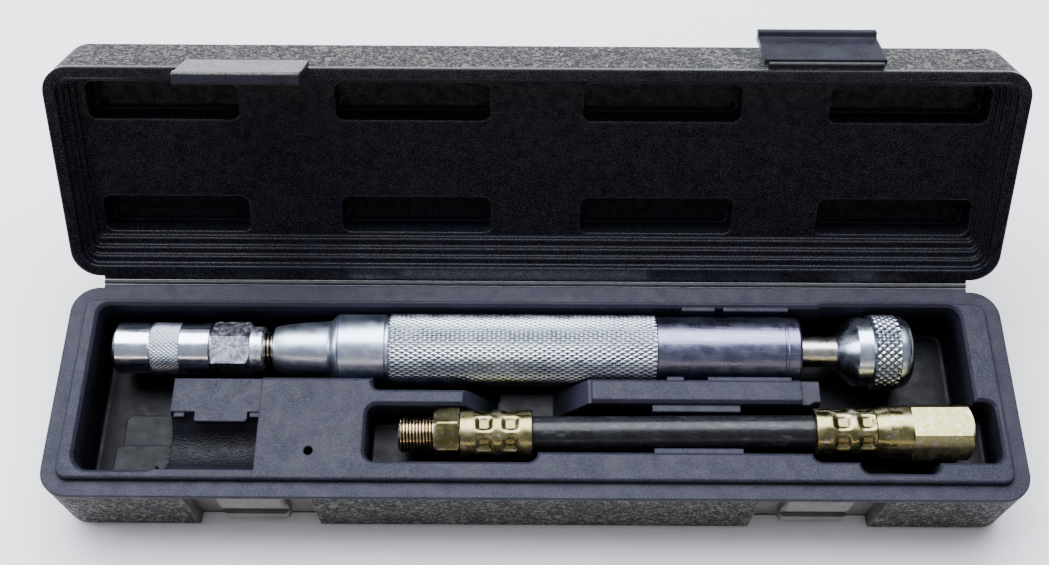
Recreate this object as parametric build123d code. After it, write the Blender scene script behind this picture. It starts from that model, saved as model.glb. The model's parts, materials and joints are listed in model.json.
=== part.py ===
"""Hand pump kit in its carrying case, at full size, in millimetres.

A hinged plastic case with two latches holds a straight hand pump (grease coupler, nose, knurled barrel,
plunger with a striking knob) and a short whip hose with a crimped fitting at each end.
+X runs along the case, -Y is its front, +Z is up. The origin is the centre of the case's flat underside.
The lid stands open at rest. It is modelled shut and then turned about its hinge.
"""

from build123d import *
import math
import os

# ---------------------------------------------------------------- driving dimensions
CASE_LENGTH = 280.0
CASE_DEPTH = 66.0
CASE_CORNER = 8.0
BASE_HEIGHT = 27.0
LID_HEIGHT = 24.0
PARTING_GAP = 0.3
WALL_DRAFT = 0.6
SHELL_WALL = 1.5
LINER_WALL = 1.5
OUTER_EDGE_FILLET = 2.5

TONGUE_INSET = 4.7
TONGUE_HEIGHT = 2.0
TONGUE_EDGE_FILLET = 0.8
LID_OPEN_ANGLE = 124.0
HINGE_Y = 35.0
HINGE_LENGTH = 262.0
FILM_RADIUS = 0.7
FILM_GAP = 0.1

LATCH_X = 81.3
LATCH_WIDTH = 34.4
LATCH_AXIS_Y = -34.2
LATCH_AXIS_RISE = 2.2
LATCH_PLATE = 1.6
LATCH_GRIP = 0.35
LIP_REACH = 1.6
LATCH_REACH = 18.1
LATCH_OPEN_LEFT = 5.5
LATCH_OPEN_RIGHT = 172.0
NOTCH_WIDTH = 36.0
NOTCH_DEPTH = 4.4
CATCH_WIDTH = 19.4
CATCH_BOTTOM_Z = 5.0

PUMP_Y = 14.7
PUMP_Z = 22.8
GRIP_RADIUS = 10.8
BARREL_RADIUS = 10.4
COLLAR_RADIUS = 10.5
BORE_RADIUS = 6.0
ROD_RADIUS = 4.5
KNOB_RADIUS = 10.4
KNURL_RADIUS = 11.3
THREAD_RADIUS = 5.15
TAPPED_RADIUS = 5.2
COUPLER_RADIUS = 7.7
BAND_RADIUS = 7.85
JAW_BORE_RADIUS = 3.25
RUNNING_GAP = 0.05

HOSE_Y = -13.3
HOSE_Z = 25.4
HOSE_YAW = 0.65
HOSE_PIVOT_X = -22.0
HOSE_RADIUS = 5.1
FERRULE_RADIUS = 7.0
COUPLER_FLATS = 14.0
MALE_FLATS = 13.6
FEMALE_FLATS = 15.2

# ---------------------------------------------------------------- worked-out levels and stations
DECK_Z = BASE_HEIGHT + TONGUE_HEIGHT
LAND_THICKNESS = 1.5
PUMP_FLOOR = PUMP_Z - GRIP_RADIUS - 1.4
HOSE_FLOOR = HOSE_Z - FEMALE_FLATS / math.sqrt(3) - 0.3
POCKET_DRAFT = 2.0
POCKET_FLOOR_FILLET = 1.5
BRIDGE_DROP = 1.8
DECK_CHAMFER = 0.9
RIM_Z = BASE_HEIGHT + PARTING_GAP
HINGE_Z = BASE_HEIGHT + PARTING_GAP / 2
LATCH_AXIS_Z = RIM_Z + LATCH_AXIS_RISE
HALF_LENGTH = CASE_LENGTH / 2
HALF_DEPTH = CASE_DEPTH / 2
NOTCH_FACE_Y = -HALF_DEPTH + NOTCH_DEPTH
CATCH_FACE_Y = -HALF_DEPTH + 0.6

# Stations along the pump, from the coupler's mouth to the striking face.
MOUTH_X = -125.4
BAND_START_X = -114.0
BAND_END_X = -105.1
SLEEVE_END_X = -96.2
HEX_START_X = -95.8
HEX_END_X = -84.4
COUPLER_END_X = -80.6
NOSE_TIP_X = -77.7
NOSE_END_X = -58.2
GRIP_START_X = -43.4
GRIP_END_X = 36.0
BARREL_END_X = 78.4
GLAND_START_X = 68.0
RING_X = 74.0
KNOB_START_X = 89.6
KNOB_END_X = 111.8
ROD_END_X = 101.0

# Stations along the hose, before it is turned to the slight angle it lies at.
MALE_TIP_X = -39.1
MALE_HEX_X = -29.0
MALE_FERRULE_X = -21.7
HOSE_START_X = -0.7
HOSE_END_X = 80.0
FEMALE_FERRULE_END_X = 97.4
FEMALE_HEX_X = 107.3
FEMALE_END_X = 124.6


# ---------------------------------------------------------------- helpers
def block(x0, x1, y0, y1, z0, z1, corner=0.0):
    """A box between two corners, with its upright edges rounded."""
    outline = Rectangle(x1 - x0, y1 - y0)
    if corner:
        outline = RectangleRounded(x1 - x0, y1 - y0, corner)
    return extrude(Pos((x0 + x1) / 2, (y0 + y1) / 2, z0) * outline, z1 - z0)


def case_slab(inset, z0, z1, corner=None):
    """The case's rounded outline, moved in by an inset, between two levels."""
    radius = max(CASE_CORNER - inset, 2.0) if corner is None else corner
    return block(
        -HALF_LENGTH + inset, HALF_LENGTH - inset, -HALF_DEPTH + inset, HALF_DEPTH - inset, z0, z1, radius
    )


def tapered_tub(inset, depth, fillet_radius):
    """The case's outline drawn down by a depth with the moulding draft, with its bottom edge rounded."""
    outline = RectangleRounded(CASE_LENGTH - 2 * inset, CASE_DEPTH - 2 * inset, CASE_CORNER - inset)
    body = extrude(outline, -depth, taper=WALL_DRAFT)
    bottom_edges = body.faces().sort_by(Axis.Z)[0].edges()
    return fillet(bottom_edges, fillet_radius)


def hinge_flange(z0, z1):
    """The strip that carries a rim's rear edge out to the hinge's fold line."""
    rear_y = HINGE_Y - FILM_RADIUS - FILM_GAP
    return block(-HINGE_LENGTH / 2, HINGE_LENGTH / 2, HALF_DEPTH - 2, rear_y, z0, z1)


def turned(stations, y=0.0, z=0.0):
    """A solid turned about an axis along X, from its closed half outline of (x, radius) stations."""
    outline = make_face(Polyline(*[(x, r) for x, r in stations], close=True))
    return Pos(0, y, z) * revolve(outline, Axis.X, 360)


def tube(x0, x1, inner, outer, y, z):
    """A plain tube or rod along X."""
    return turned([(x0, inner), (x1, inner), (x1, outer), (x0, outer)], y, z)


def hex_bar(x0, x1, flats, tilt, y, z, chamfer_at=None):
    """A hexagonal bar along X. Tilt turns it from a flat on top. chamfer_at rounds off one end's corners."""
    outline = RegularPolygon(flats / 2, 6, major_radius=False, rotation=tilt)
    bar = Pos(x0, y, z) * extrude(Plane.YZ * outline, x1 - x0)
    if chamfer_at is not None:
        corner = flats / math.sqrt(3)
        end, inward = (x1, -1) if chamfer_at == "end" else (x0, 1)
        cone = [(end, 0), (end, flats / 2), (end + inward * 1.2, corner + 0.1)]
        far = x0 if chamfer_at == "end" else x1
        bar = bar & turned(cone + [(far, corner + 0.1), (far, 0)], y, z)
    return bar


def coil_spring(x0, x1, mean_radius, wire_radius, turns, y, z):
    """A coil spring along X."""
    height = x1 - x0 - 2 * wire_radius
    path = Helix(pitch=height / turns, height=height, radius=mean_radius)
    section = Plane(origin=path @ 0, z_dir=path % 0) * Circle(wire_radius)
    wire = sweep(section, path=path)
    return Pos(x0 + wire_radius, y, z) * Rot(0, 90, 0) * wire


def o_ring(x, inner, outer, y, z):
    """A round-section ring seal at one station."""
    section = Pos(x, (inner + outer) / 2) * Circle((outer - inner) / 2)
    return Pos(0, y, z) * revolve(section, Axis.X, 360)


def laid(shape):
    """Turns a piece of the hose to the slight angle at which the hose lies in its pocket."""
    return shape.rotate(Axis((HOSE_PIVOT_X, HOSE_Y, HOSE_Z), (0, 0, 1)), HOSE_YAW)


def opened(shape):
    """Turns a piece of the shut lid to the lid's open rest angle."""
    hinge = Axis((0, HINGE_Y, HINGE_Z), (-1, 0, 0))
    return shape.rotate(hinge, LID_OPEN_ANGLE)


# ---------------------------------------------------------------- case base
def base_shell():
    """The textured outer tub, with a recess for each latch in its front wall and a catch block in it."""
    top = BASE_HEIGHT - LAND_THICKNESS
    outer = Pos(0, 0, BASE_HEIGHT) * tapered_tub(0, BASE_HEIGHT, OUTER_EDGE_FILLET)
    inner_depth = BASE_HEIGHT - SHELL_WALL
    inner = Pos(0, 0, BASE_HEIGHT) * tapered_tub(SHELL_WALL, inner_depth, OUTER_EDGE_FILLET - SHELL_WALL)
    for side in (-1, 1):
        x0, x1 = side * LATCH_X - NOTCH_WIDTH / 2, side * LATCH_X + NOTCH_WIDTH / 2
        outer -= block(x0, x1, -HALF_DEPTH - 1, NOTCH_FACE_Y, -1, BASE_HEIGHT + 1)
        inner -= block(
            x0 - SHELL_WALL, x1 + SHELL_WALL, -HALF_DEPTH - 1, NOTCH_FACE_Y + SHELL_WALL, -1, BASE_HEIGHT + 1
        )
    shell = outer - inner
    shell -= block(-HALF_LENGTH - 1, HALF_LENGTH + 1, -HALF_DEPTH - 1, HALF_DEPTH + 1, top, BASE_HEIGHT + 1)
    for side in (-1, 1):
        x0, x1 = side * LATCH_X - CATCH_WIDTH / 2, side * LATCH_X + CATCH_WIDTH / 2
        catch = block(x0, x1, CATCH_FACE_Y, NOTCH_FACE_Y + 0.5, CATCH_BOTTOM_Z, top)
        front_edges = catch.edges().filter_by(Axis.Z).group_by(Axis.Y)[0]
        catch = fillet(front_edges, 1.5)
        bottom_edge = catch.faces().sort_by(Axis.Z)[0].edges().sort_by(Axis.Y)[0]
        catch = fillet(bottom_edge, 1.0)
        groove_low, groove_high, groove_face = 10.4, 15.4, CATCH_FACE_Y + 1.4
        catch -= block(x0 - 1, x1 + 1, CATCH_FACE_Y - 1, groove_face, groove_low, groove_high)
        shell += catch
    return shell


def tray_pockets():
    """Each pocket of the tray as (x0, x1, y0, y1, floor, corner radius)."""
    return [
        (-131.0, 88.0, 3.0, 26.4, PUMP_FLOOR, 3.0),
        (-47.4, -10.0, -0.6, 12.0, PUMP_FLOOR, 2.0),
        (-131.0, -105.5, -25.6, 26.4, PUMP_FLOOR, 5.0),
        (-48.6, 0.8, -22.6, -5.5, HOSE_FLOOR, 3.0),
        (-6.0, 86.0, -19.6, -4.4, HOSE_FLOOR, 2.0),
        (78.9, 133.0, -22.2, -3.4, HOSE_FLOOR, 3.0),
        (92.2, 114.8, -25.5, -8.0, HOSE_FLOOR, 3.0),
        (83.0, 127.5, -12.0, 27.2, PUMP_FLOOR, 4.0),
    ]


def tray_saddles():
    """Each dip cut through the ridge between pump and hose, as its (x0, x1) at the deck and at the floor."""
    return [((-21.0, 16.5), (-11.0, 5.4)), ((87.5, 112.0), (94.0, 104.0))]


def saddle_cutter(at_deck, at_floor, grow):
    outline = Polyline(
        (at_deck[0] - grow, DECK_Z),
        (at_floor[0] - grow, HOSE_FLOOR - grow),
        (at_floor[1] + grow, HOSE_FLOOR - grow),
        (at_deck[1] + grow, DECK_Z),
        close=True,
    )
    front, back = -12.0 - grow, 10.0 + grow
    return Pos(0, back, 0) * extrude(Plane.XZ * make_face(outline), back - front)


def ridge_steps():
    """The lower ledges of the ridge in front of the pump, as (x0, x1, y0, y1, floor)."""
    return [
        (77.4, 94.0, -8.0, 5.0, DECK_Z - 1.6),
        (9.0, 16.5, -8.0, 5.0, DECK_Z - 1.2),
        (-108.0, -79.5, -9.0, 6.0, DECK_Z - BRIDGE_DROP),
    ]


def ridge_step_cutter(step, grow):
    x0, x1, y0, y1, floor = step
    return block(x0 - grow, x1 + grow, y0 - grow, y1 + grow, floor - grow, DECK_Z)


def trough_cutter(grow):
    """The half-round pocket for a spare nozzle."""
    x0, x1, y, radius = -107.0, -79.5, -16.4, 9.2
    half_round = Pos((x0 + x1) / 2, y, DECK_Z) * Rot(0, 90, 0) * Cylinder(radius + grow, x1 - x0 + 2 * grow)
    return half_round & block(x0 - 5, x1 + 5, y - 15, y + 15, 0, DECK_Z)


def pocket_cutter(pocket, grow):
    """A drafted pocket with a rounded floor, grown outward by a wall thickness for its outside."""
    x0, x1, y0, y1, floor, corner = pocket
    outline = RectangleRounded(x1 - x0 + 2 * grow, y1 - y0 + 2 * grow, corner + grow)
    depth = DECK_Z - floor + grow
    body = extrude(outline, -depth, taper=POCKET_DRAFT)
    body = fillet(body.faces().sort_by(Axis.Z)[0].edges(), POCKET_FLOOR_FILLET + grow)
    if not grow:
        wider = 2 * DECK_CHAMFER
        flare = RectangleRounded(x1 - x0 + wider, y1 - y0 + wider, corner + DECK_CHAMFER)
        body += extrude(flare, -DECK_CHAMFER, taper=45)
    return Pos((x0 + x1) / 2, (y0 + y1) / 2, DECK_Z) * body


def snap_lugs():
    """The small lugs that grip the pump's barrel and the hose, as (x0, x1, y0, y1, z0, z1)."""
    reach = BARREL_RADIUS + 0.3
    lugs = [(x0, x1, PUMP_Y + reach, 27.0, PUMP_Z + 1, DECK_Z - 0.6) for x0, x1 in ((44, 54), (56.5, 76))]
    lugs += [(x0, x1, 2.5, PUMP_Y - reach, PUMP_Z + 1, DECK_Z - 0.8) for x0, x1 in ((38.5, 43.5), (50.5, 75))]
    grip = HOSE_RADIUS + 0.3
    lugs += [
        (34, 59.5, -12.3 + grip + 0.2, -4.0, HOSE_Z - 1, DECK_Z - 1.6),
        (34, 59.5, -20.0, -12.3 - grip - 0.2, HOSE_Z - 1, DECK_Z - 1.6),
    ]
    return lugs


def tray_pads():
    """The raised pads on the pocket floors, as (x0, x1, y0, y1, z0, z1, corner radius)."""
    return [
        (-121.5, -105.8, -24.0, -4.0, PUMP_FLOOR - 0.5, 15.5, 2.0),
        (-122.8, -105.8, -24.3, -14.0, PUMP_FLOOR - 0.5, 17.0, 2.0),
    ]


def base_tray():
    """The smooth inner wall: rim land, raised tongue, deck, and the pockets for the pump and the hose."""
    wall = LINER_WALL
    land_z = BASE_HEIGHT - LAND_THICKNESS
    tongue = case_slab(TONGUE_INSET, land_z, DECK_Z)
    tongue = fillet(tongue.faces().sort_by(Axis.Z)[-1].edges(), TONGUE_EDGE_FILLET)
    tray = case_slab(0, land_z, BASE_HEIGHT) + tongue
    tray -= case_slab(TONGUE_INSET + wall, land_z - 1, DECK_Z - wall)
    tray += hinge_flange(land_z, BASE_HEIGHT)
    for grow in (wall, 0):
        cutters = [pocket_cutter(pocket, grow) for pocket in tray_pockets()]
        cutters += [saddle_cutter(*saddle, grow) for saddle in tray_saddles()]
        cutters += [ridge_step_cutter(step, grow) for step in ridge_steps()]
        cutters.append(trough_cutter(grow))
        for cutter in cutters:
            tray = tray + cutter if grow else tray - cutter
    for pad in tray_pads():
        tray += block(*pad)
    for lug in snap_lugs():
        tray += block(*lug)
    bridge_z = DECK_Z - BRIDGE_DROP
    tray += block(-98.5, -83.2, -10.4, -6.5, bridge_z - 2.0, bridge_z, 1.0)
    for x0 in (-104.5, -82.6):
        tray += block(x0, x0 + 3.0, -8.9, -6.5, bridge_z - 2.0, bridge_z - 0.3)
    blow_hole_x, blow_hole_y, blow_hole_radius = -64.4, -19.8, 1.3
    tray -= Pos(blow_hole_x, blow_hole_y, DECK_Z) * Cylinder(blow_hole_radius, 8)
    return tray


def hinge_film():
    """The living hinge's rolled fold line, between the rear edges of the two rims."""
    return Pos(0, HINGE_Y, HINGE_Z) * Rot(0, 90, 0) * Cylinder(FILM_RADIUS, HINGE_LENGTH)


# ---------------------------------------------------------------- lid, modelled shut
LID_STEPS = (
    # inset at the ends, at the free side and at the hinge side, and depth below the rim
    (3.4, 3.4, 3.4, 2.4),
    (4.6, 4.2, 5.6, 4.0),
    (5.8, 5.0, 7.8, 5.8),
    (7.0, 5.8, 10.2, 7.6),
)
LID_POCKET_COLUMNS = ((-130.5, -86.5), (-58.5, -13.5), (13.5, 59.5), (85.0, 131.5))
LID_POCKET_ROWS = ((-26.2, -14.8), (9.8, 21.4))
LID_POCKET_DEPTH = 8.0


def lid_shell():
    """The textured outer half shell of the lid."""
    turn_over = Pos(0, 0, RIM_Z) * Rot(180, 0, 0)
    shell = tapered_tub(0, LID_HEIGHT, OUTER_EDGE_FILLET) - tapered_tub(
        SHELL_WALL, LID_HEIGHT - SHELL_WALL, OUTER_EDGE_FILLET - SHELL_WALL
    )
    shell = turn_over * shell
    return shell - case_slab(-1, RIM_Z - 1, RIM_Z + LAND_THICKNESS, CASE_CORNER)


def lid_step_block(step, grow, z0, z1):
    """One step of the lid's lining, grown outward by a wall thickness for its outside."""
    ends, free, hinge, _ = step
    return block(
        -HALF_LENGTH + ends - grow,
        HALF_LENGTH - ends + grow,
        -HALF_DEPTH + free - grow,
        HALF_DEPTH - hinge + grow,
        z0,
        z1,
        max(CASE_CORNER - ends, 1.5) + grow,
    )


def lid_liner():
    """The lid's smooth inner wall: rim land, stepped seat for the tongue, panel and eight pockets."""
    wall = LINER_WALL
    liner = case_slab(0, RIM_Z, RIM_Z + LAND_THICKNESS)
    liner += hinge_flange(RIM_Z, RIM_Z + LAND_THICKNESS)
    panel_z = RIM_Z + LID_STEPS[-1][3]
    pockets = [(x0, x1, y0, y1) for x0, x1 in LID_POCKET_COLUMNS for y0, y1 in LID_POCKET_ROWS]
    for step in LID_STEPS:
        liner += lid_step_block(step, wall, RIM_Z, RIM_Z + step[3] + wall)
    for x0, x1, y0, y1 in pockets:
        pocket_z = panel_z + LID_POCKET_DEPTH + wall
        liner += block(x0 - wall, x1 + wall, y0 - wall, y1 + wall, panel_z, pocket_z, 4.0)
    for step in LID_STEPS:
        liner -= lid_step_block(step, 0, RIM_Z - 1, RIM_Z + step[3])
    for x0, x1, y0, y1 in pockets:
        liner -= block(x0, x1, y0, y1, panel_z - 1, panel_z + LID_POCKET_DEPTH, 2.5)
    return liner


def latch_film(x):
    """The thin web that joins a latch to the lid's front rim, with its rolled fold line."""
    length = LATCH_WIDTH - 2
    roll = Pos(x, LATCH_AXIS_Y, LATCH_AXIS_Z) * Rot(0, 90, 0) * Cylinder(FILM_RADIUS, length)
    web = block(
        x - length / 2,
        x + length / 2,
        LATCH_AXIS_Y - 0.4,
        -HALF_DEPTH,
        LATCH_AXIS_Z - 0.35,
        LATCH_AXIS_Z + 0.5,
    )
    return roll + web


def latch(x, angle):
    """A latch plate that hangs past the base's rim when shut, with a lip that snaps into the catch."""
    y, z = LATCH_AXIS_Y, LATCH_AXIS_Z
    inner_y, bottom, plate_top = -HALF_DEPTH - 0.25, z - LATCH_REACH, z - 1.1
    outer_y = inner_y - LATCH_PLATE
    grip_y, lip_y, lip_height = outer_y - LATCH_GRIP, inner_y + LIP_REACH, 2.8
    profile = Polyline(
        (inner_y, plate_top),
        (inner_y, bottom + lip_height),
        (lip_y, bottom + lip_height - 0.6),
        (lip_y, bottom + 0.6),
        (lip_y - 0.6, bottom),
        (grip_y + 0.9, bottom),
        (grip_y + 0.25, bottom + 0.25),
        (grip_y, bottom + 0.9),
        (grip_y, bottom + 2.2),
        (outer_y, bottom + 3.2),
        (outer_y, plate_top),
        close=True,
    )
    plate = Pos(x - LATCH_WIDTH / 2, 0, 0) * extrude(Plane.YZ * make_face(profile), LATCH_WIDTH)
    return plate.rotate(Axis((x, y, z), (-1, 0, 0)), angle)


# ---------------------------------------------------------------- pump
def pump_turned(stations):
    return turned(stations, PUMP_Y, PUMP_Z)


def barrel():
    """The pump's body: collar, knurled grip and smooth rear barrel, bored for the plunger."""
    return pump_turned(
        [
            (NOSE_END_X, 7.0),
            (NOSE_END_X, COLLAR_RADIUS),
            (GRIP_START_X - 0.9, COLLAR_RADIUS),
            (GRIP_START_X - 0.6, 10.0),
            (GRIP_START_X - 0.1, 10.0),
            (GRIP_START_X + 0.3, GRIP_RADIUS),
            (GRIP_END_X - 0.3, GRIP_RADIUS),
            (GRIP_END_X, BARREL_RADIUS),
            (BARREL_END_X - 0.8, BARREL_RADIUS),
            (BARREL_END_X, BARREL_RADIUS - 0.8),
            (BARREL_END_X, 8.0),
            (GLAND_START_X, 8.0),
            (GLAND_START_X, BORE_RADIUS),
            (-46.4, BORE_RADIUS),
            (-46.4, 7.0),
        ]
    )


def nose():
    """The tapered outlet end, screwed into the barrel, with a stub for the coupler and a valve chamber."""
    return pump_turned(
        [
            (-88.0, 1.6),
            (-88.0, THREAD_RADIUS - 0.5),
            (-87.4, THREAD_RADIUS),
            (NOSE_TIP_X, THREAD_RADIUS),
            (NOSE_TIP_X, 6.3),
            (NOSE_TIP_X + 0.5, 6.75),
            (-73.5, 7.45),
            (-69.2, 7.95),
            (-65.0, 8.25),
            (-61.6, 8.45),
            (-60.6, 8.8),
            (-59.9, 9.5),
            (-59.2, 10.1),
            (NOSE_END_X, COLLAR_RADIUS),
            (NOSE_END_X, 6.95),
            (-49.0, 6.95),
            (-49.0, 3.2),
            (-61.0, 3.2),
            (-61.0, 1.6),
        ]
    )


def valve_seat():
    """The disc that the check ball closes on."""
    return pump_turned([(-48.95, 2.35), (-48.95, 6.9), (-46.45, 6.9), (-46.45, 1.6), (-48.2, 1.6)])


def check_ball():
    radius = 2.5
    return Pos(-50.2, PUMP_Y, PUMP_Z) * Sphere(radius)


def check_spring():
    return coil_spring(-60.9, -52.8, 2.2, 0.3, 5, PUMP_Y, PUMP_Z)


def end_gland():
    """The bush that closes the rear of the barrel and guides the plunger rod."""
    slide, seal_seat = ROD_RADIUS + RUNNING_GAP, 6.0
    return pump_turned(
        [
            (GLAND_START_X + 0.05, slide),
            (GLAND_START_X + 0.05, 7.9),
            (BARREL_END_X - 1.2, 7.9),
            (BARREL_END_X - 1.2, slide + 0.8),
            (BARREL_END_X - 2.0, slide),
            (RING_X + 1.0, slide),
            (RING_X + 1.0, seal_seat),
            (RING_X - 1.0, seal_seat),
            (RING_X - 1.0, slide),
        ]
    )


def plunger_rod():
    """The polished rod between the piston and the striking knob."""
    return pump_turned(
        [(-29.0, 0), (-29.0, 2.5), (-25.4, 2.5), (-25.4, ROD_RADIUS), (ROD_END_X, ROD_RADIUS), (ROD_END_X, 0)]
    )


PISTON_GROOVES = (-33.0, -29.4)


def piston():
    """The plunger's head, with two grooves for its ring seals."""
    head = pump_turned(
        [
            (-35.4, 0),
            (-35.4, 5.4),
            (-34.9, BORE_RADIUS - RUNNING_GAP),
            (-25.4, BORE_RADIUS - RUNNING_GAP),
            (-25.4, 2.5),
            (-29.0, 2.5),
            (-29.0, 0),
        ]
    )
    for x in PISTON_GROOVES:
        head -= tube(x - 0.85, x + 0.85, 4.5, BORE_RADIUS + 1, PUMP_Y, PUMP_Z)
    return head


def piston_seals():
    return Compound([o_ring(x, 4.52, 5.98, PUMP_Y, PUMP_Z) for x in PISTON_GROOVES])


def strike_knob():
    """The striking knob: coned front, plain waist, knurled band and domed face."""
    return pump_turned(
        [
            (KNOB_START_X, ROD_RADIUS),
            (KNOB_START_X, 5.4),
            (94.4, 10.0),
            (95.0, KNOB_RADIUS),
            (99.2, KNOB_RADIUS),
            (99.6, KNURL_RADIUS),
            (107.0, KNURL_RADIUS),
            (107.4, 10.9),
            (109.2, 10.6),
            (110.6, 9.8),
            (111.4, 8.6),
            (KNOB_END_X, 7.0),
            (KNOB_END_X, 0),
            (ROD_END_X, 0),
            (ROD_END_X, ROD_RADIUS),
        ]
    )


# ---------------------------------------------------------------- grease coupler on the nose
def from_mouth(stations):
    """A turned solid whose stations along X are counted from the coupler's mouth."""
    return pump_turned([(MOUTH_X + x, r) for x, r in stations])


def coupler_sleeve():
    """The knurled outer sleeve, whose cone closes the jaws."""
    back = SLEEVE_END_X - MOUTH_X
    band_start, band_end = BAND_START_X - MOUTH_X, BAND_END_X - MOUTH_X
    return from_mouth(
        [
            (0, 4.2),
            (0, 6.2),
            (0.5, 7.0),
            (1.4, COUPLER_RADIUS),
            (band_start, COUPLER_RADIUS),
            (band_start + 0.2, BAND_RADIUS),
            (band_end - 0.2, BAND_RADIUS),
            (band_end, COUPLER_RADIUS),
            (back - 0.3, COUPLER_RADIUS),
            (back, COUPLER_RADIUS - 0.3),
            (back, 6.25),
            (6.6, 6.25),
            (1.7, 4.2),
        ]
    )


def coupler_jaws():
    """The four hardened jaws that grip a grease nipple."""
    ring = from_mouth(
        [
            (2.1, JAW_BORE_RADIUS),
            (2.1, 4.25),
            (6.7, 6.1),
            (15.1, 6.1),
            (15.1, JAW_BORE_RADIUS + 0.35),
            (8.1, JAW_BORE_RADIUS + 0.35),
            (8.1, JAW_BORE_RADIUS),
        ]
    )
    slot = 0.8
    for angle in (45, 135):
        ring -= Pos(MOUTH_X + 8.6, PUMP_Y, PUMP_Z) * Rot(angle, 0, 0) * Box(15, slot, 20)
    return ring


def jaw_ring():
    """The washer that passes the spring's push to the jaws."""
    return from_mouth([(15.15, 2.85), (15.15, 6.0), (16.9, 6.0), (16.9, 2.85)])


def coupler_seal():
    """The rubber face that seals against a grease nipple."""
    return from_mouth([(8.15, 1.2), (8.15, 2.9), (12.05, 2.9), (12.05, 1.2)])


def coupler_piston():
    """The small tube that carries the seal and the fluid through the spring."""
    return from_mouth([(12.1, 1.2), (12.1, 2.75), (23.5, 2.75), (23.5, 1.2)])


def coupler_spring():
    return coil_spring(MOUTH_X + 17.0, MOUTH_X + 26.0, 3.7, 0.45, 4, PUMP_Y, PUMP_Z)


def coupler_body():
    """The coupler's hexagon, screwed to the nose, whose spigot carries the sleeve."""
    bore, cup, spigot_radius = 1.6, 4.6, 6.2
    back = HEX_START_X - MOUTH_X
    spigot = from_mouth(
        [(20.1, cup), (20.1, spigot_radius), (back, spigot_radius), (back, bore), (26.1, bore), (26.1, cup)]
    )
    hexagon = hex_bar(HEX_START_X, HEX_END_X, COUPLER_FLATS, 27, PUMP_Y, PUMP_Z, "end")
    collar = pump_turned(
        [
            (HEX_END_X, 0),
            (HEX_END_X, 6.8),
            (COUPLER_END_X - 0.5, 6.7),
            (COUPLER_END_X, 6.0),
            (COUPLER_END_X, 0),
        ]
    )
    body = spigot + hexagon + collar
    body -= tube(MOUTH_X + 27, HEX_END_X, 0, bore, PUMP_Y, PUMP_Z)
    return body - tube(COUPLER_END_X - 8.6, COUPLER_END_X + 1, 0, TAPPED_RADIUS, PUMP_Y, PUMP_Z)


# ---------------------------------------------------------------- whip hose
def hose_tube(inner, outer):
    """One layer of the hose, from inside one ferrule to inside the other."""
    return tube(MALE_FERRULE_X + 3.8, FEMALE_FERRULE_END_X - 3.8, inner, outer, HOSE_Y, HOSE_Z)


def ferrule(x0, x1, closed_at_start, dimple_rows):
    """A crimped sleeve over the hose's end, with rings of dimples."""
    lip, neck, bore = 3.6, 3.45, HOSE_RADIUS + RUNNING_GAP
    closed = [(x0, neck), (x0 + lip, neck), (x0 + lip, bore), (x1, bore)]
    if not closed_at_start:
        closed = [(x0, bore), (x1 - lip, bore), (x1 - lip, neck), (x1, neck)]
    sleeve = turned(closed + [(x1, FERRULE_RADIUS), (x0, FERRULE_RADIUS)], HOSE_Y, HOSE_Z)
    dimple_radius, dimple_depth, dimples_round, first_angle = 2.6, 0.8, 7, 84
    reach = FERRULE_RADIUS + dimple_radius - dimple_depth
    for x in dimple_rows:
        for n in range(dimples_round):
            angle = math.radians(first_angle + n * 360 / dimples_round)
            centre = (x, HOSE_Y + reach * math.cos(angle), HOSE_Z + reach * math.sin(angle))
            sleeve -= Pos(*centre) * Sphere(dimple_radius)
    return sleeve


def male_fitting():
    """The threaded end: thread, hexagon and the barbed stem inside the hose."""
    thread = turned(
        [
            (MALE_TIP_X, 0),
            (MALE_TIP_X, 4.5),
            (MALE_TIP_X + 0.6, THREAD_RADIUS),
            (MALE_HEX_X, THREAD_RADIUS),
            (MALE_HEX_X, 0),
        ],
        HOSE_Y,
        HOSE_Z,
    )
    hexagon = hex_bar(MALE_HEX_X, MALE_FERRULE_X, MALE_FLATS, 25, HOSE_Y, HOSE_Z, "start")
    neck = tube(MALE_FERRULE_X, MALE_FERRULE_X + 3.7, 0, 3.4, HOSE_Y, HOSE_Z)
    stem = tube(MALE_FERRULE_X + 3.7, -5.0, 0, 1.65, HOSE_Y, HOSE_Z)
    body = thread + hexagon + neck + stem
    return body - tube(MALE_TIP_X - 1, 0, 0, 1.0, HOSE_Y, HOSE_Z)


def female_fitting():
    """The tapped end: round collar, long hexagon and the barbed stem inside the hose."""
    stem = tube(84.0, FEMALE_FERRULE_END_X - 3.7, 0, 1.65, HOSE_Y, HOSE_Z)
    neck = tube(FEMALE_FERRULE_END_X - 3.7, FEMALE_FERRULE_END_X, 0, 3.4, HOSE_Y, HOSE_Z)
    collar = turned(
        [
            (FEMALE_FERRULE_END_X, 0),
            (FEMALE_FERRULE_END_X, 6.7),
            (FEMALE_FERRULE_END_X + 3.4, 7.6),
            (FEMALE_HEX_X, 7.7),
            (FEMALE_HEX_X, 0),
        ],
        HOSE_Y,
        HOSE_Z,
    )
    hexagon = hex_bar(FEMALE_HEX_X, FEMALE_END_X, FEMALE_FLATS, -2, HOSE_Y, HOSE_Z, "end")
    body = stem + neck + collar + hexagon
    body -= tube(83, FEMALE_END_X, 0, 1.0, HOSE_Y, HOSE_Z)
    return body - tube(FEMALE_END_X - 10.0, FEMALE_END_X + 1, 0, TAPPED_RADIUS, HOSE_Y, HOSE_Z)


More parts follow.
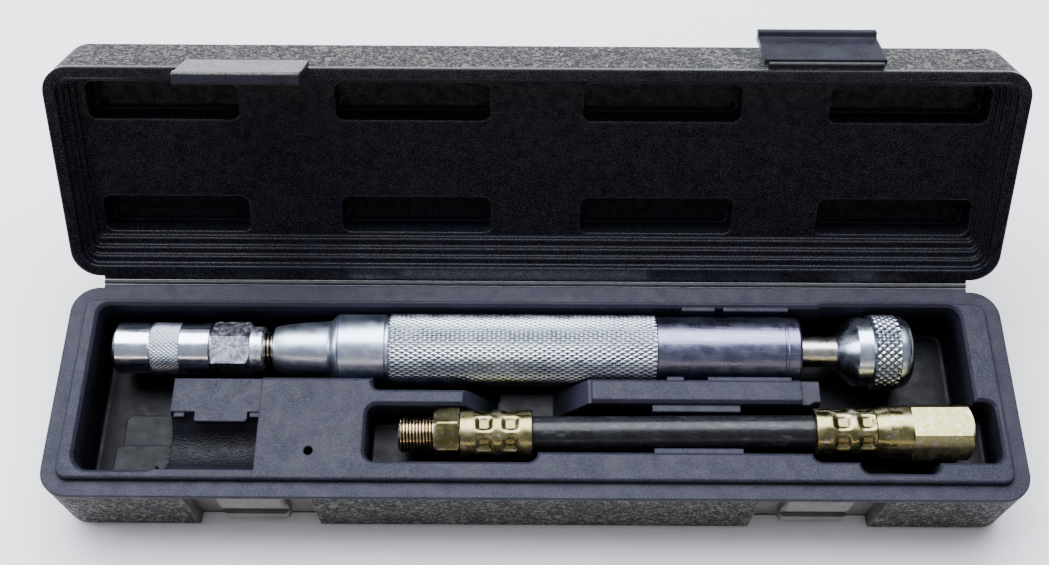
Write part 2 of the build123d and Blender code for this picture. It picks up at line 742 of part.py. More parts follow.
# ---------------------------------------------------------------- every piece, as node name: solid
def pieces():
    made = {
        "base_shell": base_shell(),
        "base_tray": base_tray(),
        "hinge_film": hinge_film(),
        "lid_shell": opened(lid_shell()),
        "lid_liner": opened(lid_liner()),
        "latch_film_left": opened(latch_film(-LATCH_X)),
        "latch_film_right": opened(latch_film(LATCH_X)),
        "latch_left": opened(latch(-LATCH_X, LATCH_OPEN_LEFT)),
        "latch_right": opened(latch(LATCH_X, LATCH_OPEN_RIGHT)),
        "barrel": barrel(),
        "nose": nose(),
        "valve_seat": valve_seat(),
        "check_ball": check_ball(),
        "check_spring": check_spring(),
        "end_gland": end_gland(),
        "rod_seal": o_ring(RING_X, ROD_RADIUS + 0.02, 5.95, PUMP_Y, PUMP_Z),
        "plunger_rod": plunger_rod(),
        "piston": piston(),
        "piston_seals": piston_seals(),
        "strike_knob": strike_knob(),
        "coupler_sleeve": coupler_sleeve(),
        "coupler_jaws": coupler_jaws(),
        "jaw_ring": jaw_ring(),
        "coupler_seal": coupler_seal(),
        "coupler_piston": coupler_piston(),
        "coupler_spring": coupler_spring(),
        "coupler_body": coupler_body(),
        "hose_cover": laid(hose_tube(3.6, HOSE_RADIUS)),
        "hose_braid": laid(hose_tube(3.15, 3.55)),
        "hose_liner": laid(hose_tube(1.7, 3.1)),
        "male_fitting": laid(male_fitting()),
        "male_ferrule": laid(ferrule(MALE_FERRULE_X, HOSE_START_X, True, (-14.6, -7.1))),
        "female_fitting": laid(female_fitting()),
        "female_ferrule": laid(ferrule(HOSE_END_X, FEMALE_FERRULE_END_X, False, (87.4, 94.4))),
    }
    return made


os.makedirs("parts", exist_ok=True)
for node, shape in pieces().items():
    export_step(shape, f"parts/{node}.step")
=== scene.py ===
"""The looks of the boxed hand pump kit: camera, light, materials, knurls, threads, crimps and springs."""
import json
import math

import bmesh
import bpy
import numpy as np
from mathutils import Matrix, Vector


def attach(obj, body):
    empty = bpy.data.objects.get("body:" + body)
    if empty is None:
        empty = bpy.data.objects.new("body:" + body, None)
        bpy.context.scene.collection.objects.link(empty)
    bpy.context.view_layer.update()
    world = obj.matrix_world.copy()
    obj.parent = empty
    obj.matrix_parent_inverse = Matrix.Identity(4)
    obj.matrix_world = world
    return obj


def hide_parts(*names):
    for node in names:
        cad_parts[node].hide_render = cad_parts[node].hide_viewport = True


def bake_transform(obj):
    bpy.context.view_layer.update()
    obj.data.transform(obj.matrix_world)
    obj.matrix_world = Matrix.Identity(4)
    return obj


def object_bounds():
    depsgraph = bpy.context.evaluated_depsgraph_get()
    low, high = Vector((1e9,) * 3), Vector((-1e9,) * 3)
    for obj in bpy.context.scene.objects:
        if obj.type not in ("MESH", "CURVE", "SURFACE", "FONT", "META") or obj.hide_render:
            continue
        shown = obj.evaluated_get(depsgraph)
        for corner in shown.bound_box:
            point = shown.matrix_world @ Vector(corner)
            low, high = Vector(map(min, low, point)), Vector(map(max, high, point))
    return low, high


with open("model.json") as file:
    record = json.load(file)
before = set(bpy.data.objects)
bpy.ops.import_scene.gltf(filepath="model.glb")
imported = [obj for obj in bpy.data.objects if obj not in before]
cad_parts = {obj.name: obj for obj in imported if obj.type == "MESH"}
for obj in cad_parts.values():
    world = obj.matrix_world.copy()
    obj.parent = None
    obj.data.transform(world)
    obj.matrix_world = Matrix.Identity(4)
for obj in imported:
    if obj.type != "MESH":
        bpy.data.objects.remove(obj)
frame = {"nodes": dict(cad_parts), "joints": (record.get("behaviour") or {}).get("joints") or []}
cad_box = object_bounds()
scene = bpy.context.scene
scene.view_settings.look = "AgX - Medium High Contrast"
nodes = frame["nodes"]
MM = 0.001
LID_OPEN = 124  # degrees from shut, in the rest pose
LATCH_TURNED = {"left": 5.5, "right": 172}  # degrees from hanging straight down the wall, in the rest pose
LATCH_X = 0.0813  # metres from the middle of the case to the middle of a latch
AIM = (0, 0, 0.02)  # the point that every light looks at
FLOOR_HALF = 3  # metres

# ---------------------------------------------------------------- camera, floor and light

camera = bpy.data.objects.new("camera", bpy.data.cameras.new("camera"))
scene.collection.objects.link(camera)
camera.data.sensor_width = 36
camera.data.lens = 44.13
camera.data.clip_start = 0.01
camera.matrix_world = (
    Matrix.Translation((-0.0033, -0.14853, 0.37328))
    @ Matrix.Rotation(math.radians(28), 4, "X")
    @ Matrix.Rotation(math.radians(0.32), 4, "Z")
)
scene.camera = camera


class Surface:
    """One procedural material, built node by node on object coordinates."""

    def __init__(self, name, **settings):
        self.material = bpy.data.materials.new(name)
        self.material.use_nodes = True
        self.tree = self.material.node_tree
        self.shader = next(n for n in self.tree.nodes if n.type == "BSDF_PRINCIPLED")
        self.place = self.add("ShaderNodeTexCoord").outputs["Object"]
        self.height = None
        for key, value in settings.items():
            self.shader.inputs[key.replace("_", " ")].default_value = value

    def add(self, kind, inputs=(), **settings):
        made = self.tree.nodes.new(kind)
        for key, value in settings.items():
            setattr(made, key, value)
        for key, value in dict(inputs).items():
            self.put(made.inputs[key], value)
        return made

    def put(self, socket, value):
        if isinstance(value, bpy.types.NodeSocket):
            self.tree.links.new(value, socket)
        else:
            socket.default_value = value

    def math(self, operation, a, b=0.0, clamp=False):
        made = self.add("ShaderNodeMath", {0: a, 1: b}, operation=operation, use_clamp=clamp)
        return made.outputs[0]

    def stretched(self, x, y, z):
        inputs = {0: self.place, 1: (x, y, z)}
        return self.add("ShaderNodeVectorMath", inputs, operation="MULTIPLY").outputs[0]

    def axis(self, name):
        return self.add("ShaderNodeSeparateXYZ", {0: self.place}).outputs[name]

    def noise(self, scale, detail=3.0, rough=0.55, warp=0.0, place=None):
        inputs = {"Vector": place or self.place, "Scale": scale, "Detail": detail}
        inputs |= {"Roughness": rough, "Distortion": warp}
        return self.add("ShaderNodeTexNoise", inputs).outputs[0]

    def cells(self, scale, feature="F1", place=None):
        inputs = {"Vector": place or self.place, "Scale": scale}
        return self.add("ShaderNodeTexVoronoi", inputs, feature=feature).outputs["Distance"]

    def span(self, value, low, high, to_low=0.0, to_high=1.0, soft=True):
        inputs = {"Value": value, "From Min": low, "From Max": high, "To Min": to_low, "To Max": to_high}
        kind = "SMOOTHSTEP" if soft else "LINEAR"
        return self.add("ShaderNodeMapRange", inputs, interpolation_type=kind).outputs[0]

    def mix(self, amount, low, high):
        made = self.add("ShaderNodeMix", data_type="RGBA")
        self.put(made.inputs[0], amount)
        for socket, value in ((made.inputs[6], low), (made.inputs[7], high)):
            self.put(socket, value if isinstance(value, bpy.types.NodeSocket) else (*value, 1.0))
        return made.outputs[2]

    def colour(self, value):
        self.put(self.shader.inputs["Base Color"], value)

    def tint(self, amount, tone):
        """Mixes a tone, or another socket's colour, over the colour so far."""
        self.colour(self.mix(amount, self.shader.inputs["Base Color"].links[0].from_socket, tone))

    def roughness(self, value):
        self.put(self.shader.inputs["Roughness"], value)

    def rounded(self, radius):
        """Softens the sharp edges that the piece's own shape leaves."""
        self.height = self.add("ShaderNodeBevel", {"Radius": radius}, samples=6).outputs[0]

    def bump(self, height, distance, strength=1.0):
        inputs = {"Height": height, "Distance": distance, "Strength": strength}
        if self.height is not None:
            inputs["Normal"] = self.height
        self.height = self.add("ShaderNodeBump", inputs).outputs[0]
        self.put(self.shader.inputs["Normal"], self.height)


def light(name, place, target, size_x, size_y, power, colour=(1, 1, 1)):
    """A soft area light that looks from place to target."""
    data = bpy.data.lights.new(name, "AREA")
    data.shape, data.size, data.size_y = "RECTANGLE", size_x, size_y
    data.energy, data.color = power, colour
    lamp = bpy.data.objects.new(name, data)
    scene.collection.objects.link(lamp)
    lamp.location = place
    lamp.rotation_euler = (Vector(target) - Vector(place)).to_track_quat("-Z", "Y").to_euler()
    lamp.visible_camera = False


light("softbox_above", (-0.10, 0.62, 1.16), AIM, 1.7, 1.25, 44, (0.91, 0.94, 1.0))
light("strip_front", (0.0, -1.40, 0.66), AIM, 2.6, 0.12, 3.0, (1.0, 0.84, 0.76))
light("side_left", (-1.10, 0.10, 0.62), AIM, 0.5, 0.4, 4.5, (0.86, 0.92, 1.0))

world = bpy.data.worlds.new("studio")
scene.world = world
world.use_nodes = True
wt = world.node_tree
direction = wt.nodes.new("ShaderNodeTexCoord").outputs["Generated"]
split = wt.nodes.new("ShaderNodeSeparateXYZ")
wt.links.new(direction, split.inputs[0])
sky = wt.nodes.new("ShaderNodeValToRGB")
wt.links.new(split.outputs["Z"], sky.inputs[0])
sky.color_ramp.elements[0].position = 0.0
sky.color_ramp.elements[0].color = (0.012, 0.012, 0.014, 1)
sky.color_ramp.elements[1].position = 1.0
sky.color_ramp.elements[1].color = (0.42, 0.44, 0.52, 1)
for at, shade in ((0.18, 0.030), (0.45, 0.26)):
    stop = sky.color_ramp.elements.new(at)
    stop.color = (shade, shade, shade * 1.05, 1)
wt.links.new(sky.outputs[0], wt.nodes["Background"].inputs[0])
wt.nodes["Background"].inputs[1].default_value = 1.0

floor_mesh = bpy.data.meshes.new("floor")
corners = [(x * FLOOR_HALF, y * FLOOR_HALF, 0) for x, y in ((-1, -1), (1, -1), (1, 1), (-1, 1))]
floor_mesh.from_pydata(corners, [], [(0, 1, 2, 3)])
floor = bpy.data.objects.new("floor", floor_mesh)
scene.collection.objects.link(floor)
floor.location.z = cad_box[0][2] - 0.0002
paper = Surface("floor_paper", Roughness=0.6)
paper.colour(paper.mix(paper.noise(3.0), (0.90, 0.90, 0.90), (0.94, 0.94, 0.94)))
floor_mesh.materials.append(paper.material)

# ---------------------------------------------------------------- materials


def case_grain():
    """Moulded case plastic: a coarse wrinkle grain outside with painted shade in its creases, smooth in the latch
    recesses.
    """
    s = Surface("case_grain", Roughness=0.5, Specular_IOR_Level=0.35)
    worms = s.math("ABSOLUTE", s.math("SUBTRACT", s.noise(480.0, 1.2, 0.5, 0.9), 0.5))
    dents = s.math("ABSOLUTE", s.math("SUBTRACT", s.noise(640.0, 1.0, 0.5, 1.4), 0.47))
    ridges = s.math("MULTIPLY", s.span(worms, 0.030, 0.095), s.span(dents, 0.020, 0.075))
    lumps = s.noise(1500.0, 4.0)
    from_latch = s.math("ABSOLUTE", s.math("SUBTRACT", s.math("ABSOLUTE", s.axis("X")), LATCH_X))
    beside = s.span(from_latch, 0.0179, 0.0184)
    behind = s.span(s.axis("Y"), -0.0205, -0.020)
    below = s.span(s.axis("Z"), 0.0008, 0.0014, 1.0, 0.0)
    rough = s.math("MAXIMUM", s.math("MAXIMUM", beside, behind), below)
    tone = s.span(s.noise(90.0, 4.0), 0.3, 0.7)
    base = s.mix(tone, (0.150, 0.142, 0.132), (0.205, 0.195, 0.182))
    # painted shade: the grain's wrinkle creases get a near-black colour in place of the shade that falls into
    # them
    grain_and_painted_crease_shade = s.mix(s.math("MULTIPLY", s.math("SUBTRACT", 1.0, ridges), rough), base, (0.006, 0.006, 0.006))
    s.colour(grain_and_painted_crease_shade)
    s.roughness(s.span(s.noise(700.0), 0.2, 0.8, 0.40, 0.62))
    height = s.math("MULTIPLY", s.math("ADD", ridges, s.math("MULTIPLY", lumps, 0.5)), rough)
    s.bump(height, 0.00034, 1.0)
    s.bump(s.noise(2600.0, 3.0), 0.00005, 0.35)
    return s.material


def case_tray():
    """Satin moulded tray with a fine speckle, and painted shade darkening it down in the pockets."""
    s = Surface("case_tray", Roughness=0.42, Specular_IOR_Level=0.24)
    # height mask, 0 down in the pockets and 1 up at the deck: it blends in the painted pocket shade below
    depth = s.span(s.axis("Z"), 0.0190, 0.0272)
    speck = s.span(s.noise(2300.0, 4.0, 0.6), 0.30, 0.72)
    cloud = s.span(s.noise(70.0, 4.0), 0.3, 0.7)
    deck = s.mix(speck, (0.012, 0.012, 0.021), (0.050, 0.051, 0.076))
    worn = s.mix(s.math("MULTIPLY", cloud, 0.35), deck, (0.048, 0.048, 0.066))
    # painted shade: down in the pockets the tray gets a near-black colour that stands in for the shade falling
    # there
    pocket_painted_shade = s.mix(cloud, (0.004, 0.004, 0.006), (0.008, 0.008, 0.012))
    s.colour(s.mix(depth, pocket_painted_shade, worn))
    s.roughness(s.span(s.noise(260.0, 4.0), 0.25, 0.75, 0.34, 0.52))
    s.rounded(0.0007)
    s.bump(s.noise(1900.0, 4.0, 0.65), 0.00009, 0.6)
    crease = s.cells(640.0, "DISTANCE_TO_EDGE", s.stretched(1.0, 1.9, 1.0))
    trough = s.span(s.math("ABSOLUTE", s.math("ADD", s.axis("X"), 0.0935)), 0.0135, 0.016, 1.0, 0.0)
    front = s.span(s.axis("Y"), -0.006, -0.003, 1.0, 0.0)
    inside = s.math("MULTIPLY", s.math("MULTIPLY", trough, front), s.math("SUBTRACT", 1.0, depth))
    s.bump(s.math("MULTIPLY", s.span(crease, 0.0, 0.35), inside), 0.00012, 0.6)
    return s.material


def moulded(name, dark, pale, grain, depth, rough_low, rough_high, edge=0.0, **settings):
    """Plain moulded plastic or rubber with a fine grain and a little uneven gloss."""
    s = Surface(name, **settings)
    if edge:
        s.rounded(edge)
    tone = s.span(s.noise(grain * 0.12, 4.0), 0.3, 0.7)
    s.colour(s.mix(tone, dark, pale))
    s.roughness(s.span(s.noise(grain * 0.35, 3.0), 0.25, 0.75, rough_low, rough_high))
    s.bump(s.noise(grain, 4.0, 0.6), depth, 0.5)
    return s


def latch_plastic(side):
    """A latch's satin plastic, grained and paler on its outer face."""
    turned = math.radians(LID_OPEN + LATCH_TURNED[side])
    s = moulded(
        "latch_" + side, (0.022, 0.022, 0.030), (0.036, 0.037, 0.050), 1300.0, 0.00009, 0.24, 0.40, 0.0009,
        Specular_IOR_Level=0.22,
    )
    hinge = next(j for j in frame["joints"] if j["name"] == side + "_latch_hinge")["pos_m"]
    outward = (0.0, -math.cos(turned), math.sin(turned))
    place = s.add("ShaderNodeVectorMath", {0: s.place, 1: hinge}, operation="SUBTRACT").outputs[0]
    height = s.add("ShaderNodeVectorMath", {0: place, 1: outward}, operation="DOT_PRODUCT").outputs["Value"]
    outer = s.span(height, 0.0001, 0.0006)
    speck = s.mix(s.span(s.noise(1700.0, 4.0), 0.3, 0.7), (0.075, 0.072, 0.072), (0.190, 0.184, 0.180))
    s.tint(outer, speck)
    s.bump(s.math("MULTIPLY", s.noise(1500.0, 4.0, 0.6), outer), 0.00030, 0.9)
    return s.material


def metal(name, dark, pale, low, high, turned=0.0, blotch=220.0, pits=0.0, **settings):
    """Machined metal: turning lines across the axis, blotches in colour and gloss, and small pits."""
    s = Surface(name, Metallic=1.0, **settings)
    patches = s.span(s.noise(blotch, 5.0, 0.6), 0.28, 0.72)
    fine = s.noise(1800.0, 3.0)
    s.colour(s.mix(patches, dark, pale))
    mixed = s.math("ADD", s.math("MULTIPLY", patches, 0.7), s.math("MULTIPLY", fine, 0.3))
    s.roughness(s.span(mixed, 0.15, 0.85, low, high))
    if turned:
        lines = s.noise(1.0, 3.0, 0.7, place=s.stretched(5200.0, 60.0, 60.0))
        s.bump(lines, 0.00003, turned)
    if pits:
        s.bump(s.span(s.cells(900.0), 0.05, 0.35), 0.00005, pits)
    return s


def shade_painted_in_cuts(s, tone, amount):
    """Paints shade into the metal down in the cuts that the mesh's own cut attribute marks: painted shade, darker
    the deeper the cut.
    """
    cut = s.add("ShaderNodeAttribute", attribute_name="cut").outputs["Fac"]
    s.tint(s.math("MULTIPLY", s.span(cut, 0.25, 1.0), amount), tone)
    return s


def scratched(s, amount, tone):
    """Adds thin lengthwise and slanting scratches to a metal."""
    long = s.span(s.noise(1.0, 2.0, place=s.stretched(70.0, 2600.0, 2600.0)), 0.62, 0.70)
    turned = {"Vector": s.place, "Rotation": (0, 0.5, 0.7), "Scale": (90, 2200, 2200)}
    slant = s.add("ShaderNodeMapping", turned).outputs[0]
    cross = s.span(s.noise(1.0, 2.0, place=slant), 0.64, 0.70)
    marks = s.math("MULTIPLY", s.math("MAXIMUM", long, cross), amount)
    s.tint(marks, tone)
    s.bump(marks, 0.00002, 0.6)
    return s


def lid_lining():
    """The lid's glossy black inside, with fine pale flecks."""
    s = moulded(
        "lid_lining", (0.0050, 0.0050, 0.0080), (0.0090, 0.0090, 0.0140), 1100.0, 0.00004, 0.13, 0.24, 0.0009
    )
    s.tint(s.span(s.noise(2300.0, 3.0, 0.6), 0.42, 0.72), (0.034, 0.034, 0.050))
    return s.material


def hose_rubber():
    """Black rubber with pale lengthwise scuffs."""
    s = moulded("hose_rubber", (0.009, 0.009, 0.012), (0.017, 0.017, 0.022), 1500.0, 0.00004, 0.24, 0.40)
    scuffs = s.span(s.noise(1.0, 4.0, place=s.stretched(160.0, 700.0, 700.0)), 0.58, 0.70)
    s.tint(s.math("MULTIPLY", scuffs, 0.5), (0.085, 0.085, 0.090))
    return s.material


tray = case_tray()
case = case_grain()
lining = lid_lining()
film = moulded("case_film", (0.030, 0.030, 0.036), (0.045, 0.045, 0.052), 1500.0, 0.00005, 0.4, 0.6).material
hose_black = hose_rubber()
seal_black = moulded(
    "seal_rubber", (0.014, 0.014, 0.014), (0.024, 0.024, 0.024), 2000.0, 0.00003, 0.5, 0.7
).material
# painted shade down in the knurls' valleys, on the barrel, the knob and the coupler sleeve
grip = shade_painted_in_cuts(
    metal("barrel_knurl", (0.42, 0.46, 0.51), (0.56, 0.60, 0.66), 0.24, 0.38), (0.10, 0.11, 0.13), 0.8
).material
smooth_steel = scratched(
    metal("barrel_steel", (0.17, 0.175, 0.25), (0.24, 0.245, 0.33), 0.26, 0.38, 0.25), 0.5, (0.45, 0.45, 0.52)
).material
turned_steel = metal("nose_steel", (0.52, 0.57, 0.68), (0.64, 0.68, 0.78), 0.30, 0.40, 0.35).material
polished = metal("coupler_chrome", (0.62, 0.67, 0.76), (0.74, 0.78, 0.86), 0.15, 0.25, 0.25).material
hex_steel = metal("coupler_hex", (0.62, 0.66, 0.76), (0.95, 0.96, 1.0), 0.26, 0.46, 0.0, 700.0, 0.9).material
rod_steel = metal("rod_steel", (0.40, 0.39, 0.35), (0.56, 0.55, 0.50), 0.22, 0.36, 0.5, 160.0).material
knob_steel = metal("knob_steel", (0.50, 0.55, 0.64), (0.68, 0.72, 0.80), 0.18, 0.30, 0.6).material
hard_steel = metal("hard_steel", (0.30, 0.30, 0.32), (0.42, 0.42, 0.44), 0.20, 0.35, 0.3).material
spring_steel = metal("spring_steel", (0.38, 0.38, 0.40), (0.50, 0.50, 0.52), 0.25, 0.40).material
braid = metal("braid_wire", (0.30, 0.30, 0.30), (0.45, 0.45, 0.45), 0.30, 0.50, 0.0, 800.0).material


def yellow_zinc():
    """Yellow-passivated zinc: gold with faint violet and green patches over a slightly pitted surface."""
    s = metal("yellow_zinc", (0.22, 0.20, 0.09), (0.40, 0.37, 0.20), 0.20, 0.36, 0.2, 260.0, 0.3)
    gold = s.shader.inputs["Base Color"].links[0].from_socket
    rose = s.mix(s.span(s.noise(330.0, 3.0), 0.56, 0.72), gold, (0.46, 0.34, 0.37))
    teal = s.mix(s.span(s.noise(410.0, 3.0, warp=0.6), 0.60, 0.76), rose, (0.32, 0.42, 0.34))
    pale = s.mix(s.span(s.noise(520.0, 4.0, warp=0.3), 0.58, 0.74), teal, (0.50, 0.48, 0.40))
    s.colour(pale)
    # painted shade down in the cuts: the ferrules' crimp dimples, and also the male fitting's hexagon flats, cut
    # down from the round stock
    return shade_painted_in_cuts(s, (0.16, 0.13, 0.06), 0.6).material


zinc = yellow_zinc()
# painted shade down in the thread roots of the nose's and the male fitting's threads
thread_steel = shade_painted_in_cuts(
    metal("thread_steel", (0.45, 0.42, 0.34), (0.66, 0.62, 0.52), 0.18, 0.32), (0.05, 0.04, 0.03), 0.95
).material
thread_zinc = shade_painted_in_cuts(
    metal("thread_zinc", (0.62, 0.50, 0.30), (0.85, 0.74, 0.58), 0.14, 0.28, 0.0, 500.0), (0.06, 0.04, 0.02), 0.95
).material

# ---------------------------------------------------------------- turned pieces and springs

# each axis line: y and z in millimetres, and the turn about Z in degrees
PUMP = (14.7, 22.8, 0.0)
HOSE = (-13.3, 25.4, 0.65)
HOSE_PIVOT_X = -22.0


def steps(x0, r0, x1, r1, step):
    """Stations at about that step from one point of an outline to the next, the last one left out."""
    count = max(1, round(abs(x1 - x0) / step))
    return [(x0 + (x1 - x0) * i / count, r0 + (r1 - r0) * i / count) for i in range(count)]


def linked(name, mesh, material, sharp=None):
    """Cleans a new mesh, shades it smooth up to the sharp angle in degrees, and puts it in the scene."""
    bm = bmesh.new()
    bm.from_mesh(mesh)
    bmesh.ops.remove_doubles(bm, verts=bm.verts, dist=1e-7)
    bmesh.ops.dissolve_degenerate(bm, edges=bm.edges, dist=1e-8)
    bmesh.ops.recalc_face_normals(bm, faces=bm.faces)
    bm.to_mesh(mesh)
    bm.free()
    mesh.materials.append(material)
    mesh.polygons.foreach_set("use_smooth", [True] * len(mesh.polygons))
    if sharp:
        mesh.set_sharp_from_angle(angle=math.radians(sharp))
    piece = bpy.data.objects.new(name, mesh)
    scene.collection.objects.link(piece)
    return piece


def turned_piece(name, body, stations, line, segments, material, shape, sharp, stands_for, deepest=0.4):
    """A closed ring mesh about an axis along X. shape(x, r, turn) gives the radius at each point, in mm."""
    y0, z0, yaw = line
    x = np.array([s[0] for s in stations], float)[:, None]
    r = np.array([s[1] for s in stations], float)[:, None]
    turn = np.linspace(0, 2 * np.pi, segments, endpoint=False)[None, :]
    radius = np.minimum(r, shape(x + 0 * turn, r + 0 * turn, turn))
    py, pz = radius * np.cos(turn), radius * np.sin(turn)
    px = x + 0 * turn
    a = math.radians(yaw)
    dx = px - HOSE_PIVOT_X
    qx = HOSE_PIVOT_X + dx * math.cos(a) - py * math.sin(a) if yaw else px
    qy = dx * math.sin(a) + py * math.cos(a) if yaw else py
    co = np.stack([qx, y0 + qy, z0 + pz], -1).reshape(-1, 3) * MM
    rings = len(stations)
    i = np.arange(rings)[:, None]
    j = np.arange(segments)[None, :]
    k, l = (i + 1) % rings, (j + 1) % segments
    faces = [i * segments + j, i * segments + l, k * segments + l, k * segments + j]
    faces = np.stack(faces, -1).reshape(-1, 4)
    mesh = bpy.data.meshes.new(name)
    mesh.from_pydata(co.tolist(), [], faces.tolist())
    cut = mesh.attributes.new("cut", "FLOAT", "POINT")
    cut.data.foreach_set("value", np.clip((r - radius) / deepest, 0, 1).astype(np.float32).ravel())
    piece = linked(name, mesh, material, sharp)
    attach(piece, body)
    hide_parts(stands_for)
    return piece


def coil_spring(node, x0, x1, mean, wire, turns):
    """A coil spring on the pump's axis, from x0 to x1."""
    round_turn, round_wire = 36, 10
    y, z, _ = PUMP
    along = np.linspace(0, 1, turns * round_turn + 1)[:, None]
    section = np.linspace(0, 2 * np.pi, round_wire, endpoint=False)[None, :]
    x = x0 + (x1 - x0) * along + wire * np.sin(section)
    radius = mean + wire * np.cos(section) + 0 * along
    angle = 2 * np.pi * turns * along
    co = np.stack([x, y + radius * np.cos(angle), z + radius * np.sin(angle)], -1).reshape(-1, 3) * MM
    i = np.arange(len(along) - 1)[:, None] * round_wire
    j = np.arange(round_wire)[None, :]
    k = (j + 1) % round_wire
    faces = np.stack([i + j, i + k, i + round_wire + k, i + round_wire + j], -1).reshape(-1, 4).tolist()
    last = (len(along) - 1) * round_wire
    faces += [list(range(round_wire - 1, -1, -1)), list(range(last, last + round_wire))]
    mesh = bpy.data.meshes.new(node)
    mesh.from_pydata(co.tolist(), [], faces)
    piece = linked(node + "_coil", mesh, spring_steel)
    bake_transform(piece)
    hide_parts(node)


def paint(piece, material, chosen):
    """Gives the faces whose centre passes chosen(x, y, z) in millimetres another material."""
    piece.data.materials.append(material)
    index = len(piece.data.materials) - 1
    for face in piece.data.polygons:
        if chosen(*(face.center / MM)):
            face.material_index = index


def diamonds(x, turn, round_count, pitch):
    """0 in a diamond knurl's valleys and 1 on its flats."""
    def fold(t):
        return 1 - np.abs(2 * (t - np.floor(t)) - 1)

    a = round_count * turn / (2 * np.pi) + x / pitch
    b = round_count * turn / (2 * np.pi) - x / pitch
    return np.minimum(1, 1.5 * np.minimum(fold(a), fold(b)))


def band(x, x0, x1, fade):
    """1 well inside x0..x1, falling to 0 at its ends."""
    return np.clip(np.minimum(x - x0, x1 - x) / fade, 0, 1)


def knurled(x0, x1, round_count, pitch, depth, least):
    """A radius rule that cuts a diamond knurl between x0 and x1, on points further out than least."""
    def shape(x, r, turn):
        cut = depth * (1 - diamonds(x, turn, round_count, pitch)) * band(x, x0, x1, 0.35)
        return np.where(r > least, r - cut, r)

    return shape


def hexagon(x0, x1, flats, tilt):
    """A radius rule for a hexagonal bar between x0 and x1, with slightly rounded corners."""
    first = math.radians(90 + tilt)

    def shape(x, r, turn):
        off = (turn - first + math.pi / 6) % (math.pi / 3) - math.pi / 6
        side = np.minimum(flats / 2 / np.cos(off), flats / math.sqrt(3) - 0.12)
        return np.where((x >= x0 - 1e-6) & (x <= x1 + 1e-6), np.minimum(r, side), r)

    return shape


def threaded(x0, x1, pitch, depth, least):
    """A radius rule that cuts a screw thread between x0 and x1."""
    def shape(x, r, turn):
        along = x / pitch - turn / (2 * np.pi)
        tooth = 1 - np.abs(2 * (along - np.floor(along)) - 1)
        cut = depth * np.clip(1.25 - 1.5 * tooth, 0, 1) * band(x, x0, x1, 0.3)
        return np.where(r > least, r - cut, r)

    return shape


def both(*rules):
    """A radius rule that applies several, one after the other."""
    def shape(x, r, turn):
        for rule in rules:
            r = rule(x, r, turn)
        return r

    return shape


DIMPLES = 7


def crimped(rows, first, depth, width_x, width_turn, least):
    """A radius rule that presses rings of soft dimples into a sleeve, the first dimple at first degrees."""
    def shape(x, r, turn):
        cut = 0 * r
        for row in rows:
            for n in range(DIMPLES):
                away = (turn - math.radians(first + n * 360 / DIMPLES) + math.pi) % (2 * math.pi) - math.pi
                cut = cut + np.exp(-(((x - row) / width_x) ** 4) - (away / width_turn) ** 4)
            cut = cut + 0.22 * np.exp(-(((x - row) / (0.9 * width_x)) ** 4))
        return np.where(r > least, r - depth * np.minimum(cut, 1.1), r)

    return shape


# the barrel: collar, knurled grip, smooth rear
GRIP = (-43.1, 35.7)
KNURL_PITCH, KNURL_ROUND = 2.7, 46
barrel_line = (
    [(-58.2, 7.0), (-58.2, 10.1), (-57.8, 10.5), (-44.6, 10.5), (-44.0, 10.0), (-43.5, 10.0)]
    + steps(GRIP[0], 10.8, GRIP[1], 10.8, KNURL_PITCH / 8)
    + [(GRIP[1], 10.8), (36.0, 10.4), (60.0, 10.4), (73.4, 10.4), (73.6, 10.25), (74.2, 10.25), (74.4, 10.4)]
    + [(77.6, 10.4), (78.2, 10.1), (78.4, 9.6), (78.4, 8.0), (68.0, 8.0), (68.0, 6.0)]
    + [(-46.4, 6.0), (-46.4, 7.0)]
)
barrel = turned_piece(
    "barrel_knurled", "pump", barrel_line, PUMP, KNURL_ROUND * 8, grip,
    knurled(GRIP[0], GRIP[1], KNURL_ROUND, KNURL_PITCH, 0.34, 10.6), 22, "barrel",
)
paint(barrel, smooth_steel, lambda x, y, z: x > GRIP[1])
paint(barrel, turned_steel, lambda x, y, z: x < GRIP[0])

# the striking knob
knob_line = (
    [(89.6, 4.5), (89.6, 5.2), (89.9, 5.6), (94.2, 9.8), (95.0, 10.4), (99.2, 10.4), (99.4, 10.7)]
    + steps(99.7, 11.3, 107.0, 11.3, 0.3)
    + [(107.0, 11.3), (107.4, 10.9), (108.4, 10.8), (109.2, 10.6), (110.0, 10.25), (110.6, 9.8)]
    + [(111.1, 9.2)]
    + [(111.4, 8.6), (111.65, 7.8), (111.8, 7.0), (111.8, 0), (101.0, 0), (101.0, 4.5)]
)
knob = turned_piece(
    "strike_knob_turned", "plunger", knob_line, PUMP, 34 * 8, knob_steel,
    knurled(99.6, 107.1, 34, 2.4, 0.45, 10.95), 24, "strike_knob",
)
paint(knob, grip, lambda x, y, z: 99.5 < x < 107.2)

# the coupler's sleeve with its fine knurled band
sleeve_line = (
    [(-125.4, 4.2), (-125.4, 6.2), (-124.9, 7.0), (-124.5, 7.4), (-124.0, 7.7), (-114.2, 7.7), (-114.0, 7.8)]
    + steps(-113.8, 7.85, -105.3, 7.85, 0.18)
    + [(-105.3, 7.85), (-105.1, 7.7), (-96.5, 7.7), (-96.2, 7.4), (-96.2, 6.25), (-118.8, 6.25), (-123.7, 4.2)]
)
sleeve = turned_piece(
    "coupler_sleeve_knurled", "pump", sleeve_line, PUMP, 44 * 8, polished,
    knurled(-113.9, -105.2, 44, 1.45, 0.22, 7.78), 22, "coupler_sleeve",
)
paint(sleeve, grip, lambda x, y, z: -113.9 < x < -105.2 and math.hypot(y - PUMP[0], z - PUMP[1]) > 7.4)

